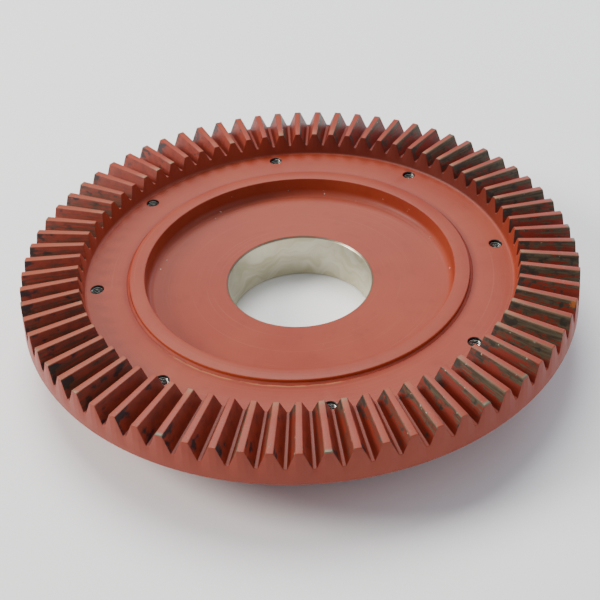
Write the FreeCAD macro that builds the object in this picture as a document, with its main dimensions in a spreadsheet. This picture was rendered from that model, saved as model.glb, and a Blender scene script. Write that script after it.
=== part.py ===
import FreeCAD, Part
import math
import os
import Sketcher

# Slewing ring bearing with straight bevel teeth, lying flat with its teeth upwards.
# Millimetres. Origin: on the bearing axis, level with the hub ring's underside. +Z: axis, upwards.
# The hub ring stands still on its bore. The geared ring turns round it on one row of balls.

doc = FreeCAD.newDocument("bevel_geared_slewing_ring")
sheet = doc.addObject("Spreadsheet::Sheet", "Sizes")

SIZES = (
    # bevel teeth; the pitch circle lies above the annulus
    ("gear_module", 6.0),
    ("gear_teeth", 72),
    ("pinion_teeth", 18),
    ("shaft_angle", 100.0),
    ("pressure_angle", 22.5),
    ("root_land", 2.6),
    ("addendum_modules", 1.0),
    ("dedendum_modules", 1.25),
    ("pitch_rise", 10.5),
    ("cutter_overrun", 3.0),
    # geared ring; heights are measured up from the hub ring's underside, the rim's down from the annulus
    ("annulus_width", 32.8),
    ("annulus_height", 53.0),
    ("wall_lean", 2.5),
    ("wall_fillet", 2.0),
    ("rim_depth", 12.0),
    ("rim_lean", 2.0),
    ("rim_chamfer", 1.5),
    ("back_width", 41.3),
    ("back_height", 3.5),
    ("edge_break", 0.5),
    # tapped holes for the driven table
    ("table_hole_count", 8),
    ("table_hole_radius", 5.0),
    ("table_hole_depth", 20.0),
    ("table_hole_inset", 9.5),
    ("table_hole_chamfer", 0.5),
    # ball row
    ("ball_count", 34),
    ("ball_diameter", 20.0),
    ("spacer_thickness", 5.06),
    ("spacer_radius", 7.0),
    ("spacer_length", 10.0),
    ("spacer_play", 0.1),
    ("race_height", 26.0),
    ("race_clearance", 0.03),
    ("bearing_gap", 2.2),
    # hub ring
    ("band_step", 3.0),
    ("band_width", 12.0),
    ("recess_depth", 16.0),
    ("recess_fillet", 5.5),
    ("bore_radius", 57.5),
    ("bore_chamfer", 1.5),
    # lower race ring, its shim, screws and dowels
    ("race_ring_width", 34.5),
    ("race_ring_set_up", 0.5),
    ("spigot_clearance", 0.05),
    ("shim_thickness", 0.5),
    ("shim_clearance", 2.0),
    ("screw_count", 12),
    ("screw_inset", 22.5),
    ("screw_radius", 4.0),
    ("screw_length", 25.0),
    ("screw_thread_play", 0.05),
    ("screw_hole_play", 0.5),
    ("thread_depth", 11.0),
    ("head_radius", 6.5),
    ("head_height", 8.0),
    ("head_play", 0.75),
    ("head_set_up", 0.5),
    ("key_flats", 6.0),
    ("key_depth", 4.0),
    ("dowel_radius", 3.0),
    ("dowel_length", 20.0),
    ("dowel_play", 0.01),
    ("dowel_phase", 15.0),
    # seals
    ("seal_fit", 0.05),
    ("seal_lip_gap", 0.3),
    ("seal_lip_thickness", 0.6),
    ("seal_lip_rise", 1.0),
    ("seal_height", 6.9),
    ("seal_setback", 0.1),
    ("tongue_depth", 2.0),
    ("tongue_height", 2.5),
    ("tongue_inset", 2.9),
    # grease nipples
    ("nipple_count", 2),
    ("nipple_seat_depth", 9.4),
    ("nipple_seat_radius", 8.0),
    ("nipple_thread_radius", 4.0),
    ("nipple_thread_length", 9.0),
    ("nipple_flats", 9.0),
    ("nipple_hex_height", 5.0),
    ("nipple_neck_radius", 2.4),
    ("nipple_neck_length", 3.5),
    ("nipple_head_radius", 3.2),
    ("grease_channel_radius", 2.0),
)

for row, (alias, value) in enumerate(SIZES, start=1):
    sheet.set(f"A{row}", alias)
    sheet.set(f"B{row}", str(value))
    sheet.setAlias(f"B{row}", alias)
doc.recompute()

# Sizes that follow from the driving ones, as expressions on the sheet.

PITCH_RADIUS = "(Sizes.gear_module * Sizes.gear_teeth / 2)"
CONE_SLOPE = "((Sizes.pinion_teeth / Sizes.gear_teeth + cos(Sizes.shaft_angle)) / sin(Sizes.shaft_angle))"
PITCH_HEIGHT = "(Sizes.annulus_height + Sizes.pitch_rise)"
APEX = f"({PITCH_HEIGHT} + {PITCH_RADIUS} * {CONE_SLOPE})"
ADDENDUM = "(Sizes.addendum_modules * Sizes.gear_module)"
DEDENDUM = "(Sizes.dedendum_modules * Sizes.gear_module)"
HEEL_RADIUS = f"({PITCH_RADIUS} + {ADDENDUM} * {CONE_SLOPE})"
RIM_RADIUS = f"({HEEL_RADIUS} + Sizes.rim_lean)"
RIM_HEIGHT = "(Sizes.annulus_height - Sizes.rim_depth)"

BALL_RADIUS = "(Sizes.ball_diameter / 2)"
BALL_CIRCLE = "(Sizes.ball_count * (Sizes.ball_diameter + Sizes.spacer_thickness) / (2 * pi))"
GROOVE_RADIUS = f"({BALL_RADIUS} + Sizes.race_clearance)"
HUB_RADIUS = f"({BALL_CIRCLE} - Sizes.bearing_gap / 2)"
RING_BORE = f"({BALL_CIRCLE} + Sizes.bearing_gap / 2)"

WALL_RADIUS = f"({RING_BORE} + Sizes.annulus_width)"
TOE_RADIUS = f"({WALL_RADIUS} + Sizes.wall_lean)"
BACK_RADIUS = f"({RING_BORE} + Sizes.back_width)"
TABLE_HOLE_CIRCLE = f"({WALL_RADIUS} - Sizes.table_hole_inset)"

BAND_HEIGHT = "(Sizes.annulus_height + Sizes.band_step)"
RECESS_RADIUS = f"({HUB_RADIUS} - Sizes.band_width)"
FLOOR_HEIGHT = f"({BAND_HEIGHT} - Sizes.recess_depth)"
SPIGOT_RADIUS = f"({HUB_RADIUS} - Sizes.race_ring_width)"
REBATE_HEIGHT = "(Sizes.race_height + Sizes.shim_thickness / 2)"
RACE_RING_TOP = "(Sizes.race_height - Sizes.shim_thickness / 2)"
SCREW_CIRCLE = f"({HUB_RADIUS} - Sizes.screw_inset)"
HEAD_TOP = "(Sizes.race_ring_set_up + Sizes.head_set_up + Sizes.head_height)"

# The nipples sit in the geared ring's conical back, each at a depth below the cone's surface.
BACK_RISE = f"((Sizes.race_height - Sizes.back_height) / ({RIM_HEIGHT} - Sizes.back_height))"
CONE_RADIUS = f"({BACK_RADIUS} + {BACK_RISE} * ({RIM_RADIUS} - Sizes.rim_chamfer - {BACK_RADIUS}))"
NIPPLE_SEAT = f"({CONE_RADIUS} - Sizes.nipple_seat_depth)"


def tooth_height(height_above_pitch, radius):
    """Height, at a radius, of the straight line to the cone apex from above the pitch circle."""
    return f"({APEX} - ({APEX} - {PITCH_HEIGHT} - ({height_above_pitch})) * {radius} / {PITCH_RADIUS})"


# Helpers for sketches and features


def new_body(label):
    body = doc.addObject("PartDesign::Body", label)
    body.Label = label
    return body


def origin_plane(body, role):
    for feature in body.Origin.OriginFeatures:
        if feature.Role == role:
            return feature
    raise ValueError(role)


def new_sketch(body, name, role, offset=None):
    """A sketch on one of the body's origin planes, moved along its normal by an expression."""
    sketch = body.newObject("Sketcher::SketchObject", name)
    sketch.AttachmentSupport = [(origin_plane(body, role), "")]
    sketch.MapMode = "FlatFace"
    if offset is not None:
        sketch.setExpression("AttachmentOffset.Base.z", offset)
    return sketch


def place_point(sketch, geometry, point, across, up):
    """Tie a point's two distances from the sketch origin to expressions; "0" puts it on the axis."""
    for kind, expression, axis in (("DistanceX", across, -2), ("DistanceY", up, -1)):
        if expression == "0":
            sketch.addConstraint(Sketcher.Constraint("PointOnObject", geometry, point, axis))
        else:
            index = sketch.addConstraint(Sketcher.Constraint(kind, -1, 1, geometry, point, 50.0))
            sketch.setExpression(f"Constraints[{index}]", expression)


def closed_outline(sketch, corners):
    """Straight lines joining corners given as (radius, height) expressions."""
    count = len(corners)
    first_guess = []
    for corner in range(count):
        turn = 2 * math.pi * corner / count
        first_guess.append(FreeCAD.Vector(150 + 40 * math.cos(turn), 40 + 40 * math.sin(turn), 0))
    for corner in range(count):
        sketch.addGeometry(Part.LineSegment(first_guess[corner], first_guess[(corner + 1) % count]))
    for corner in range(count):
        sketch.addConstraint(Sketcher.Constraint("Coincident", corner, 2, (corner + 1) % count, 1))
    for corner, (radius, height) in enumerate(corners):
        place_point(sketch, corner, 1, radius, height)


def circle(sketch, across, up, radius):
    index = sketch.addGeometry(Part.Circle(FreeCAD.Vector(100, 30, 0), FreeCAD.Vector(0, 0, 1), 5))
    place_point(sketch, index, 3, across, up)
    constraint = sketch.addConstraint(Sketcher.Constraint("Radius", index, 5.0))
    sketch.setExpression(f"Constraints[{constraint}]", radius)


def revolve(body, corners):
    """Turn a closed outline of (radius, height) corners round the bearing axis; gives its sketch."""
    sketch = new_sketch(body, f"{body.Label}_section", "XZ_Plane")
    closed_outline(sketch, corners)
    feature = body.newObject("PartDesign::Revolution", f"{body.Label}_turned")
    feature.Profile = sketch
    feature.ReferenceAxis = (sketch, ["V_Axis"])
    feature.Angle = 360
    doc.recompute()
    return sketch


def checked_cut(body, feature, previous=None):
    """Recompute a feature that removes material and make sure that it did."""
    before = (previous or feature.BaseFeature).Shape.Volume
    doc.recompute()
    if not feature.Shape.Volume < before - 1e-3:
        raise RuntimeError(f"{feature.Name} removed nothing")
    body.Tip = feature
    return feature


def raceway(body):
    """Turn the ball groove into a race."""
    sketch = new_sketch(body, f"{body.Label}_raceway_section", "XZ_Plane")
    circle(sketch, BALL_CIRCLE, "Sizes.race_height", GROOVE_RADIUS)
    feature = body.newObject("PartDesign::Groove", f"{body.Label}_raceway")
    feature.Profile = sketch
    feature.ReferenceAxis = (sketch, ["V_Axis"])
    feature.Angle = 360
    return checked_cut(body, feature)


def round_pattern(body, feature, count):
    pattern = body.newObject("PartDesign::PolarPattern", f"{feature.Name}_pattern")
    pattern.Originals = [feature]
    pattern.Axis = (origin_plane(body, "Z_Axis"), [""])
    pattern.Angle = 360
    pattern.setExpression("Occurrences", count)
    return checked_cut(body, pattern, feature)


def hole_circle(body, name, level, centre, radius, depth, count, upwards=False, taper=None):
    """Round holes parallel to the axis, sunk from a level; centre is (across, up) in plan."""
    sketch = new_sketch(body, f"{name}_sketch", "XY_Plane", level)
    circle(sketch, centre[0], centre[1], radius)
    pocket = body.newObject("PartDesign::Pocket", name)
    pocket.Profile = sketch
    pocket.setExpression("Length", depth)
    pocket.Reversed = upwards
    if taper is not None:
        pocket.TaperAngle = taper
    checked_cut(body, pocket)
    return round_pattern(body, pocket, count)


def round_corner(body, name, section, corner, size):
    """Fillet the circular edge that a corner of the turned section has become."""
    spot = section.Geometry[corner].StartPoint
    edges = []
    for number, edge in enumerate(body.Tip.Shape.Edges, start=1):
        box = edge.BoundBox
        level = abs(box.ZMin - spot.y) < 0.01 and abs(box.ZMax - spot.y) < 0.01
        if level and isinstance(edge.Curve, Part.Circle) and abs(edge.Curve.Radius - spot.x) < 0.01:
            edges.append(f"Edge{number}")
    if not edges:
        raise RuntimeError(f"{name}: no edge at radius {spot.x:.2f}, height {spot.y:.2f}")
    feature = body.newObject("PartDesign::Fillet", name)
    feature.Base = (feature.BaseFeature, edges)
    feature.setExpression("Radius", size)
    doc.recompute()
    body.Tip = feature


def bound(kind, label, sizes, spot=("0", "0", "0")):
    """A Part primitive whose sizes and place are tied to expressions."""
    item = doc.addObject(kind, label)
    item.Label = label
    for name, expression in sizes.items():
        item.setExpression(name, expression)
    for axis, expression in zip("xyz", spot):
        item.setExpression(f"Placement.Base.{axis}", expression)
    return item


def boolean(kind, label, base, tool):
    item = doc.addObject(kind, label)
    item.Label = label
    item.Base = base
    item.Tool = tool
    return item


def ring_of_copies(label, pattern_piece, count, start=0.0):
    """One node that holds separate copies of a piece, spaced evenly round the bearing axis."""
    doc.recompute()
    copies = []
    for number in range(count):
        copy = pattern_piece.Shape.copy()
        turn = start + 360.0 * number / count
        copy.rotate(FreeCAD.Vector(0, 0, 0), FreeCAD.Vector(0, 0, 1), turn)
        copies.append(copy)
    group = doc.addObject("Part::Feature", label)
    group.Label = label
    group.Shape = Part.Compound(copies)
    return group


nodes = []


# Geared ring: turned blank, ball groove, bevel tooth gaps, tapped holes, grease nipple seats

SEAL_GROOVE_TOP = "(Sizes.annulus_height - Sizes.tongue_inset + Sizes.seal_fit)"
SEAL_GROOVE_LOW = "(Sizes.annulus_height - Sizes.tongue_inset - Sizes.tongue_height - Sizes.seal_fit)"
LOWER_GROOVE_LOW = "(Sizes.back_height + Sizes.tongue_inset - Sizes.seal_fit)"
LOWER_GROOVE_TOP = "(Sizes.back_height + Sizes.tongue_inset + Sizes.tongue_height + Sizes.seal_fit)"
SEAL_GROOVE_RADIUS = f"({RING_BORE} + Sizes.tongue_depth + Sizes.seal_fit)"

geared_ring = new_body("geared_ring")
ring_section = revolve(geared_ring, (
    (RING_BORE, "Sizes.back_height"),
    (BACK_RADIUS, "Sizes.back_height"),
    (f"{RIM_RADIUS} - Sizes.rim_chamfer", RIM_HEIGHT),
    (RIM_RADIUS, f"{RIM_HEIGHT} + Sizes.rim_chamfer"),
    (HEEL_RADIUS, tooth_height(ADDENDUM, HEEL_RADIUS)),
    (TOE_RADIUS, tooth_height(ADDENDUM, TOE_RADIUS)),
    (WALL_RADIUS, "Sizes.annulus_height"),
    (RING_BORE, "Sizes.annulus_height"),
    (RING_BORE, SEAL_GROOVE_TOP),
    (SEAL_GROOVE_RADIUS, SEAL_GROOVE_TOP),
    (SEAL_GROOVE_RADIUS, SEAL_GROOVE_LOW),
    (RING_BORE, SEAL_GROOVE_LOW),
    (RING_BORE, LOWER_GROOVE_TOP),
    (SEAL_GROOVE_RADIUS, LOWER_GROOVE_TOP),
    (SEAL_GROOVE_RADIUS, LOWER_GROOVE_LOW),
    (RING_BORE, LOWER_GROOVE_LOW),
))
raceway(geared_ring)


def tooth_gap_section(name, radius):
    """Trapezium of one tooth gap where it crosses a plane at a radius; all shrink towards the apex."""
    sketch = new_sketch(geared_ring, name, "YZ_Plane", radius)
    scale = f"({radius} / {PITCH_RADIUS})"
    over_tip = "Sizes.cutter_overrun"
    low = tooth_height(f"-{DEDENDUM}", radius)
    high = tooth_height(f"{ADDENDUM} + {over_tip}", radius)
    half_low = f"(Sizes.root_land / 2 * {scale})"
    widening = f"(({ADDENDUM} + {DEDENDUM} + {over_tip}) * tan(Sizes.pressure_angle))"
    half_high = f"(({widening} + Sizes.root_land / 2) * {scale})"
    first_guess = [FreeCAD.Vector(*spot) for spot in ((-2, 50), (2, 50), (8, 80), (-8, 80))]
    for corner in range(4):
        sketch.addGeometry(Part.LineSegment(first_guess[corner], first_guess[(corner + 1) % 4]))
    for corner in range(4):
        sketch.addConstraint(Sketcher.Constraint("Coincident", corner, 2, (corner + 1) % 4, 1))
    sketch.addConstraint(Sketcher.Constraint("Symmetric", 0, 1, 0, 2, -2))
    sketch.addConstraint(Sketcher.Constraint("Symmetric", 2, 1, 2, 2, -2))
    place_point(sketch, 0, 2, half_low, low)
    place_point(sketch, 2, 1, half_high, high)
    return sketch


heel_section = tooth_gap_section("gap_at_heel", f"({RIM_RADIUS} + Sizes.cutter_overrun)")
toe_section = tooth_gap_section("gap_at_toe", f"({WALL_RADIUS} - Sizes.cutter_overrun)")
tooth_gap = geared_ring.newObject("PartDesign::SubtractiveLoft", "tooth_gap")
tooth_gap.Profile = heel_section
tooth_gap.Sections = [toe_section]
tooth_gap.Ruled = True
checked_cut(geared_ring, tooth_gap)
round_pattern(geared_ring, tooth_gap, "Sizes.gear_teeth")

hole_circle(
    geared_ring, "table_hole", "Sizes.annulus_height", (TABLE_HOLE_CIRCLE, "0"),
    "Sizes.table_hole_radius", "Sizes.table_hole_depth", "Sizes.table_hole_count",
)
hole_circle(
    geared_ring, "table_hole_mouth", "Sizes.annulus_height", (TABLE_HOLE_CIRCLE, "0"),
    "Sizes.table_hole_radius + Sizes.table_hole_chamfer", "Sizes.table_hole_chamfer",
    "Sizes.table_hole_count", taper=-45,
)


def radial_holes(name, start, radius, depth):
    """Holes drilled towards the axis at the height of the ball row, one for each grease nipple."""
    sketch = new_sketch(geared_ring, f"{name}_sketch", "YZ_Plane", start)
    circle(sketch, "0", "Sizes.race_height", radius)
    pocket = geared_ring.newObject("PartDesign::Pocket", name)
    pocket.Profile = sketch
    pocket.setExpression("Length", depth)
    checked_cut(geared_ring, pocket)
    return round_pattern(geared_ring, pocket, "Sizes.nipple_count")


radial_holes("nipple_seat", RIM_RADIUS, "Sizes.nipple_seat_radius", f"{RIM_RADIUS} - {NIPPLE_SEAT}")
radial_holes(
    "nipple_thread", NIPPLE_SEAT, "Sizes.nipple_thread_radius + Sizes.screw_thread_play",
    "Sizes.nipple_thread_length + Sizes.nipple_thread_radius",
)
radial_holes(
    "grease_channel", NIPPLE_SEAT, "Sizes.grease_channel_radius",
    f"{NIPPLE_SEAT} - {BALL_CIRCLE} - {BALL_RADIUS} + Sizes.grease_channel_radius",
)
WALL_FOOT = 6
round_corner(geared_ring, "wall_foot_fillet", ring_section, WALL_FOOT, "Sizes.wall_fillet")
nodes.append(geared_ring)


# Hub ring: raised band, recess and bore above, seat for the lower race ring below

hub_ring = new_body("hub_ring")
hub_section = revolve(hub_ring, (
    ("Sizes.bore_radius + Sizes.bore_chamfer", "0"),
    (SPIGOT_RADIUS, "0"),
    (SPIGOT_RADIUS, REBATE_HEIGHT),
    (HUB_RADIUS, REBATE_HEIGHT),
    (HUB_RADIUS, f"{BAND_HEIGHT} - Sizes.edge_break"),
    (f"{HUB_RADIUS} - Sizes.edge_break", BAND_HEIGHT),
    (RECESS_RADIUS, BAND_HEIGHT),
    (RECESS_RADIUS, FLOOR_HEIGHT),
    ("Sizes.bore_radius + Sizes.bore_chamfer", FLOOR_HEIGHT),
    ("Sizes.bore_radius", f"{FLOOR_HEIGHT} - Sizes.bore_chamfer"),
    ("Sizes.bore_radius", "Sizes.bore_chamfer"),
))
raceway(hub_ring)
hole_circle(
    hub_ring, "race_screw_thread", REBATE_HEIGHT, (SCREW_CIRCLE, "0"),
    "Sizes.screw_radius + Sizes.screw_thread_play", "Sizes.thread_depth", "Sizes.screw_count",
    upwards=True,
)
DOWEL_CENTRE = (f"{SCREW_CIRCLE} * cos(Sizes.dowel_phase)", f"{SCREW_CIRCLE} * sin(Sizes.dowel_phase)")
DOWEL_HOLE = "Sizes.dowel_radius + Sizes.dowel_play"
hole_circle(
    hub_ring, "hub_dowel_hole", REBATE_HEIGHT, DOWEL_CENTRE, DOWEL_HOLE,
    "Sizes.dowel_length / 2 + Sizes.shim_thickness", "2", upwards=True,
)
RECESS_FOOT = 7
round_corner(hub_ring, "recess_foot_fillet", hub_section, RECESS_FOOT, "Sizes.recess_fillet")
nodes.append(hub_ring)


# Lower race ring: closes the ball row from below, so that the balls can be put in

lower_race_ring = new_body("lower_race_ring")
revolve(lower_race_ring, (
    (f"{SPIGOT_RADIUS} + Sizes.spigot_clearance", "Sizes.race_ring_set_up"),
    (HUB_RADIUS, "Sizes.race_ring_set_up"),
    (HUB_RADIUS, RACE_RING_TOP),
    (f"{SPIGOT_RADIUS} + Sizes.spigot_clearance", RACE_RING_TOP),
))
raceway(lower_race_ring)
hole_circle(
    lower_race_ring, "race_screw_hole", RACE_RING_TOP, (SCREW_CIRCLE, "0"),
    "Sizes.screw_radius + Sizes.screw_hole_play", RACE_RING_TOP, "Sizes.screw_count",
)
hole_circle(
    lower_race_ring, "race_screw_counterbore", HEAD_TOP, (SCREW_CIRCLE, "0"),
    "Sizes.head_radius + Sizes.head_play", HEAD_TOP, "Sizes.screw_count",
)
hole_circle(
    lower_race_ring, "ring_dowel_hole", RACE_RING_TOP, DOWEL_CENTRE, DOWEL_HOLE, RACE_RING_TOP, "2",
)
nodes.append(lower_race_ring)


# Shim ring: sets the bearing's preload between the hub ring and the lower race ring

SHIM_EDGE = f"({BALL_CIRCLE} - {GROOVE_RADIUS} - Sizes.shim_clearance)"

shim_ring = new_body("shim_ring")
revolve(shim_ring, (
    (f"{SPIGOT_RADIUS} + Sizes.seal_lip_gap", RACE_RING_TOP),
    (SHIM_EDGE, RACE_RING_TOP),
    (SHIM_EDGE, REBATE_HEIGHT),
    (f"{SPIGOT_RADIUS} + Sizes.seal_lip_gap", REBATE_HEIGHT),
))
hole_circle(
    shim_ring, "shim_screw_hole", REBATE_HEIGHT, (SCREW_CIRCLE, "0"),
    "Sizes.screw_radius + Sizes.screw_hole_play", "Sizes.shim_thickness", "Sizes.screw_count",
)
hole_circle(
    shim_ring, "shim_dowel_hole", REBATE_HEIGHT, DOWEL_CENTRE,
    "Sizes.dowel_radius + Sizes.screw_hole_play", "Sizes.shim_thickness", "2",
)
nodes.append(shim_ring)


# Socket head screws, put in from below

screw_head = bound(
    "Part::Cylinder", "race_screw_head",
    {"Radius": "Sizes.head_radius", "Height": "Sizes.head_height"},
    (SCREW_CIRCLE, "0", f"{HEAD_TOP} - Sizes.head_height"),
)
screw_shank = bound(
    "Part::Cylinder", "race_screw_shank",
    {"Radius": "Sizes.screw_radius", "Height": "Sizes.screw_length"},
    (SCREW_CIRCLE, "0", HEAD_TOP),
)
screw_key = bound(
    "Part::Prism", "race_screw_key",
    {"Circumradius": "Sizes.key_flats / sqrt(3)", "Height": "Sizes.key_depth"},
    (SCREW_CIRCLE, "0", f"{HEAD_TOP} - Sizes.head_height"),
)
screw_key.Polygon = 6
screw_blank = boolean("Part::Fuse", "race_screw_blank", screw_head, screw_shank)
race_screw = boolean("Part::Cut", "race_screw", screw_blank, screw_key)
nodes.append(ring_of_copies("race_ring_screws", race_screw, int(sheet.screw_count)))


# Dowel pins: hold the lower race ring concentric with the hub ring's half of the raceway

for number in (1, 2):
    azimuth = f"(Sizes.dowel_phase + 180 * {number - 1})"
    nodes.append(bound(
        "Part::Cylinder", f"dowel_pin_{number}",
        {"Radius": "Sizes.dowel_radius", "Height": "Sizes.dowel_length"},
        (
            f"{SCREW_CIRCLE} * cos({azimuth})",
            f"{SCREW_CIRCLE} * sin({azimuth})",
            "Sizes.race_height - Sizes.dowel_length / 2",
        ),
    ))


# Ball row: balls with a cupped spacer between each two

for number in range(int(sheet.ball_count)):
    azimuth = f"(360 * {number} / Sizes.ball_count)"
    nodes.append(bound(
        "Part::Sphere", f"ball_{number + 1:02d}",
        {"Radius": BALL_RADIUS},
        (f"{BALL_CIRCLE} * cos({azimuth})", f"{BALL_CIRCLE} * sin({azimuth})", "Sizes.race_height"),
    ))

spacer_blank = bound(
    "Part::Cylinder", "spacer_blank",
    {"Radius": "Sizes.spacer_radius", "Height": "Sizes.spacer_length"},
    (BALL_CIRCLE + " * cos(180 / Sizes.ball_count)", "Sizes.spacer_length / 2", "Sizes.race_height"),
)
spacer_blank.Placement.Rotation = FreeCAD.Rotation(FreeCAD.Vector(1, 0, 0), 90)
spacer = spacer_blank
for side, sign in (("left", "-"), ("right", "")):
    cup = bound(
        "Part::Sphere", f"spacer_cup_{side}",
        {"Radius": f"{BALL_RADIUS} + Sizes.spacer_play"},
        (
            f"{BALL_CIRCLE} * cos(180 / Sizes.ball_count)",
            f"{sign}{BALL_CIRCLE} * sin(180 / Sizes.ball_count)",
            "Sizes.race_height",
        ),
    )
    spacer = boolean("Part::Cut", f"spacer_cut_{side}", spacer, cup)
nodes.append(ring_of_copies(
    "ball_spacers", spacer, int(sheet.ball_count), 180.0 / int(sheet.ball_count),
))


# Seals: a tongue keys each one into the geared ring and its lip runs beside the hub

SEAL_BACK = f"({RING_BORE} - Sizes.seal_fit)"
SEAL_TONGUE = f"({RING_BORE} + Sizes.tongue_depth - Sizes.seal_fit)"
SEAL_LIP = f"({HUB_RADIUS} + Sizes.seal_lip_gap)"


def make_seal(label, face, direction):
    """A seal whose outer edge is level with a face; direction is + when it faces down, - when up."""

    def into(depth):
        return f"({face} {direction} ({depth}))"

    seal = new_body(label)
    revolve(seal, (
        (SEAL_BACK, into("Sizes.seal_setback")),
        (SEAL_BACK, into("Sizes.tongue_inset")),
        (SEAL_TONGUE, into("Sizes.tongue_inset")),
        (SEAL_TONGUE, into("Sizes.tongue_inset + Sizes.tongue_height")),
        (SEAL_BACK, into("Sizes.tongue_inset + Sizes.tongue_height")),
        (SEAL_BACK, into("Sizes.seal_height")),
        (f"{SEAL_LIP} + Sizes.seal_lip_thickness", into("Sizes.seal_height")),
        (SEAL_LIP, into("Sizes.seal_lip_rise")),
        (SEAL_LIP, into("Sizes.seal_setback - Sizes.seal_lip_rise")),
    ))
    nodes.append(seal)


make_seal("upper_seal", "Sizes.annulus_height", "-")
make_seal("lower_seal", "Sizes.back_height", "+")


# Grease nipples: screwed radially into the geared ring's back, each over a channel to the balls


def make_nipple(number):
    label = f"grease_nipple_{number + 1}"
    shank = bound("Part::Cylinder", f"{label}_shank", {
        "Radius": "Sizes.nipple_thread_radius", "Height": "Sizes.nipple_thread_length",
    }, ("0", "0", "-Sizes.nipple_thread_length"))
    hexagon = bound("Part::Prism", f"{label}_hexagon", {
        "Circumradius": "Sizes.nipple_flats / sqrt(3)", "Height": "Sizes.nipple_hex_height",
    })
    hexagon.Polygon = 6
    neck = bound("Part::Cylinder", f"{label}_neck", {
        "Radius": "Sizes.nipple_neck_radius", "Height": "Sizes.nipple_neck_length",
    }, ("0", "0", "Sizes.nipple_hex_height"))
    head = bound("Part::Sphere", f"{label}_head", {
        "Radius": "Sizes.nipple_head_radius",
    }, ("0", "0", "Sizes.nipple_hex_height + Sizes.nipple_neck_length + Sizes.nipple_neck_radius"))
    nipple = doc.addObject("Part::MultiFuse", label)
    nipple.Label = label
    nipple.Shapes = [shank, hexagon, neck, head]
    azimuth = f"(360 * {number} / Sizes.nipple_count)"
    turn = 360.0 * number / sheet.nipple_count
    upright = FreeCAD.Rotation(FreeCAD.Vector(0, 1, 0), 90)
    nipple.Placement.Rotation = FreeCAD.Rotation(FreeCAD.Vector(0, 0, 1), turn).multiply(upright)
    nipple.setExpression("Placement.Base.x", f"{NIPPLE_SEAT} * cos({azimuth})")
    nipple.setExpression("Placement.Base.y", f"{NIPPLE_SEAT} * sin({azimuth})")
    nipple.setExpression("Placement.Base.z", "Sizes.race_height")
    nodes.append(nipple)


for nipple_number in range(int(sheet.nipple_count)):
    make_nipple(nipple_number)
doc.recompute()


# Check every object, then write each piece to its own file

for item in doc.Objects:
    if "Invalid" in item.State or "Error" in item.State:
        raise RuntimeError(f"{item.Name} failed: {item.State}")
for node in nodes:
    if node.Shape.isNull() or not node.Shape.isValid():
        raise RuntimeError(f"{node.Label} has no valid shape")

os.makedirs("parts", exist_ok=True)
for node in nodes:
    node.Shape.exportStep(f"parts/{node.Label}.step")
    print(f"{node.Label}: {len(node.Shape.Solids)} solid(s), {node.Shape.Volume / 1000:.1f} cm3")
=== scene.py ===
# %% [markdown]
# # A slewing ring bearing with bevel teeth
# The object is a heavy steel ring, painted with red oxide primer, whose upper face carries 72 straight bevel
# teeth. It turns on one row of balls round a hub ring that stands still. The measured model is loaded as a
# fixed frame, and this file only gives it its looks: rounded edges, threads, paint, bare steel and wear.
# Its sizes are given in millimetres, as on a drawing, and MM turns them into the scene's metres. Only the
# floor and the lights are placed in metres.

import math

import bmesh
import bpy
from mathutils import Matrix, Vector


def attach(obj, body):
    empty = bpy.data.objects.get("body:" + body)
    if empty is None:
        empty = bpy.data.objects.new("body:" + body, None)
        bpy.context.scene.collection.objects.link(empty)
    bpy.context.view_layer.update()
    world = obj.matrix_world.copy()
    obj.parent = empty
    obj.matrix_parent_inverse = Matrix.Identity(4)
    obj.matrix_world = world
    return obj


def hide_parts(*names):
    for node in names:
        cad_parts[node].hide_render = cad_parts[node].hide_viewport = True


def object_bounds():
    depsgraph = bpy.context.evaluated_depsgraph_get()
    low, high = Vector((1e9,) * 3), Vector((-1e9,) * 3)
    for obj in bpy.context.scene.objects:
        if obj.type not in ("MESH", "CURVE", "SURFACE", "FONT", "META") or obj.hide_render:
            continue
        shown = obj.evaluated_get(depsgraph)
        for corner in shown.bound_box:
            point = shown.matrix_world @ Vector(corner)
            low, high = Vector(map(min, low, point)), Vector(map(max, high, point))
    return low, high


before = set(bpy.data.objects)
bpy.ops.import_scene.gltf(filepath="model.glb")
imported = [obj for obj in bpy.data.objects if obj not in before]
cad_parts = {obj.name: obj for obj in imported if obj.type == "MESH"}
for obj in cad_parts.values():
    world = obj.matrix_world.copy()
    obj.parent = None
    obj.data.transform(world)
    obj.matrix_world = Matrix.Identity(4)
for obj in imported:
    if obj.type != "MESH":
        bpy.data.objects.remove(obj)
cad_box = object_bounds()
MM = 0.001


# %% [markdown]
# ## The camera
# The bearing lies flat and is seen from above its front edge. The camera comes first, because everything
# after it is judged through it. A rotation matrix says where the camera's right, up and back point, which
# makes a small roll easy: the right and up directions are turned a little in their own plane.

# %% Place the camera
CAMERA_AZIMUTH = math.radians(-95.75)
CAMERA_ELEVATION = math.radians(39.21)
CAMERA_ROLL = math.radians(-3.10)
CAMERA_DISTANCE = 827.4 * MM
LOOK_AT_RADIUS = 42.7 * MM
LOOK_AT_AZIMUTH = math.radians(-96.8)

look_at = Vector((
    LOOK_AT_RADIUS * math.cos(LOOK_AT_AZIMUTH),
    LOOK_AT_RADIUS * math.sin(LOOK_AT_AZIMUTH),
    53 * MM,
))
back = Vector((
    math.cos(CAMERA_ELEVATION) * math.cos(CAMERA_AZIMUTH),
    math.cos(CAMERA_ELEVATION) * math.sin(CAMERA_AZIMUTH),
    math.sin(CAMERA_ELEVATION),
))
level_right = Vector((-math.sin(CAMERA_AZIMUTH), math.cos(CAMERA_AZIMUTH), 0))
level_up = back.cross(level_right)
right = level_right * math.cos(CAMERA_ROLL) + level_up * math.sin(CAMERA_ROLL)
up = back.cross(right)

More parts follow.
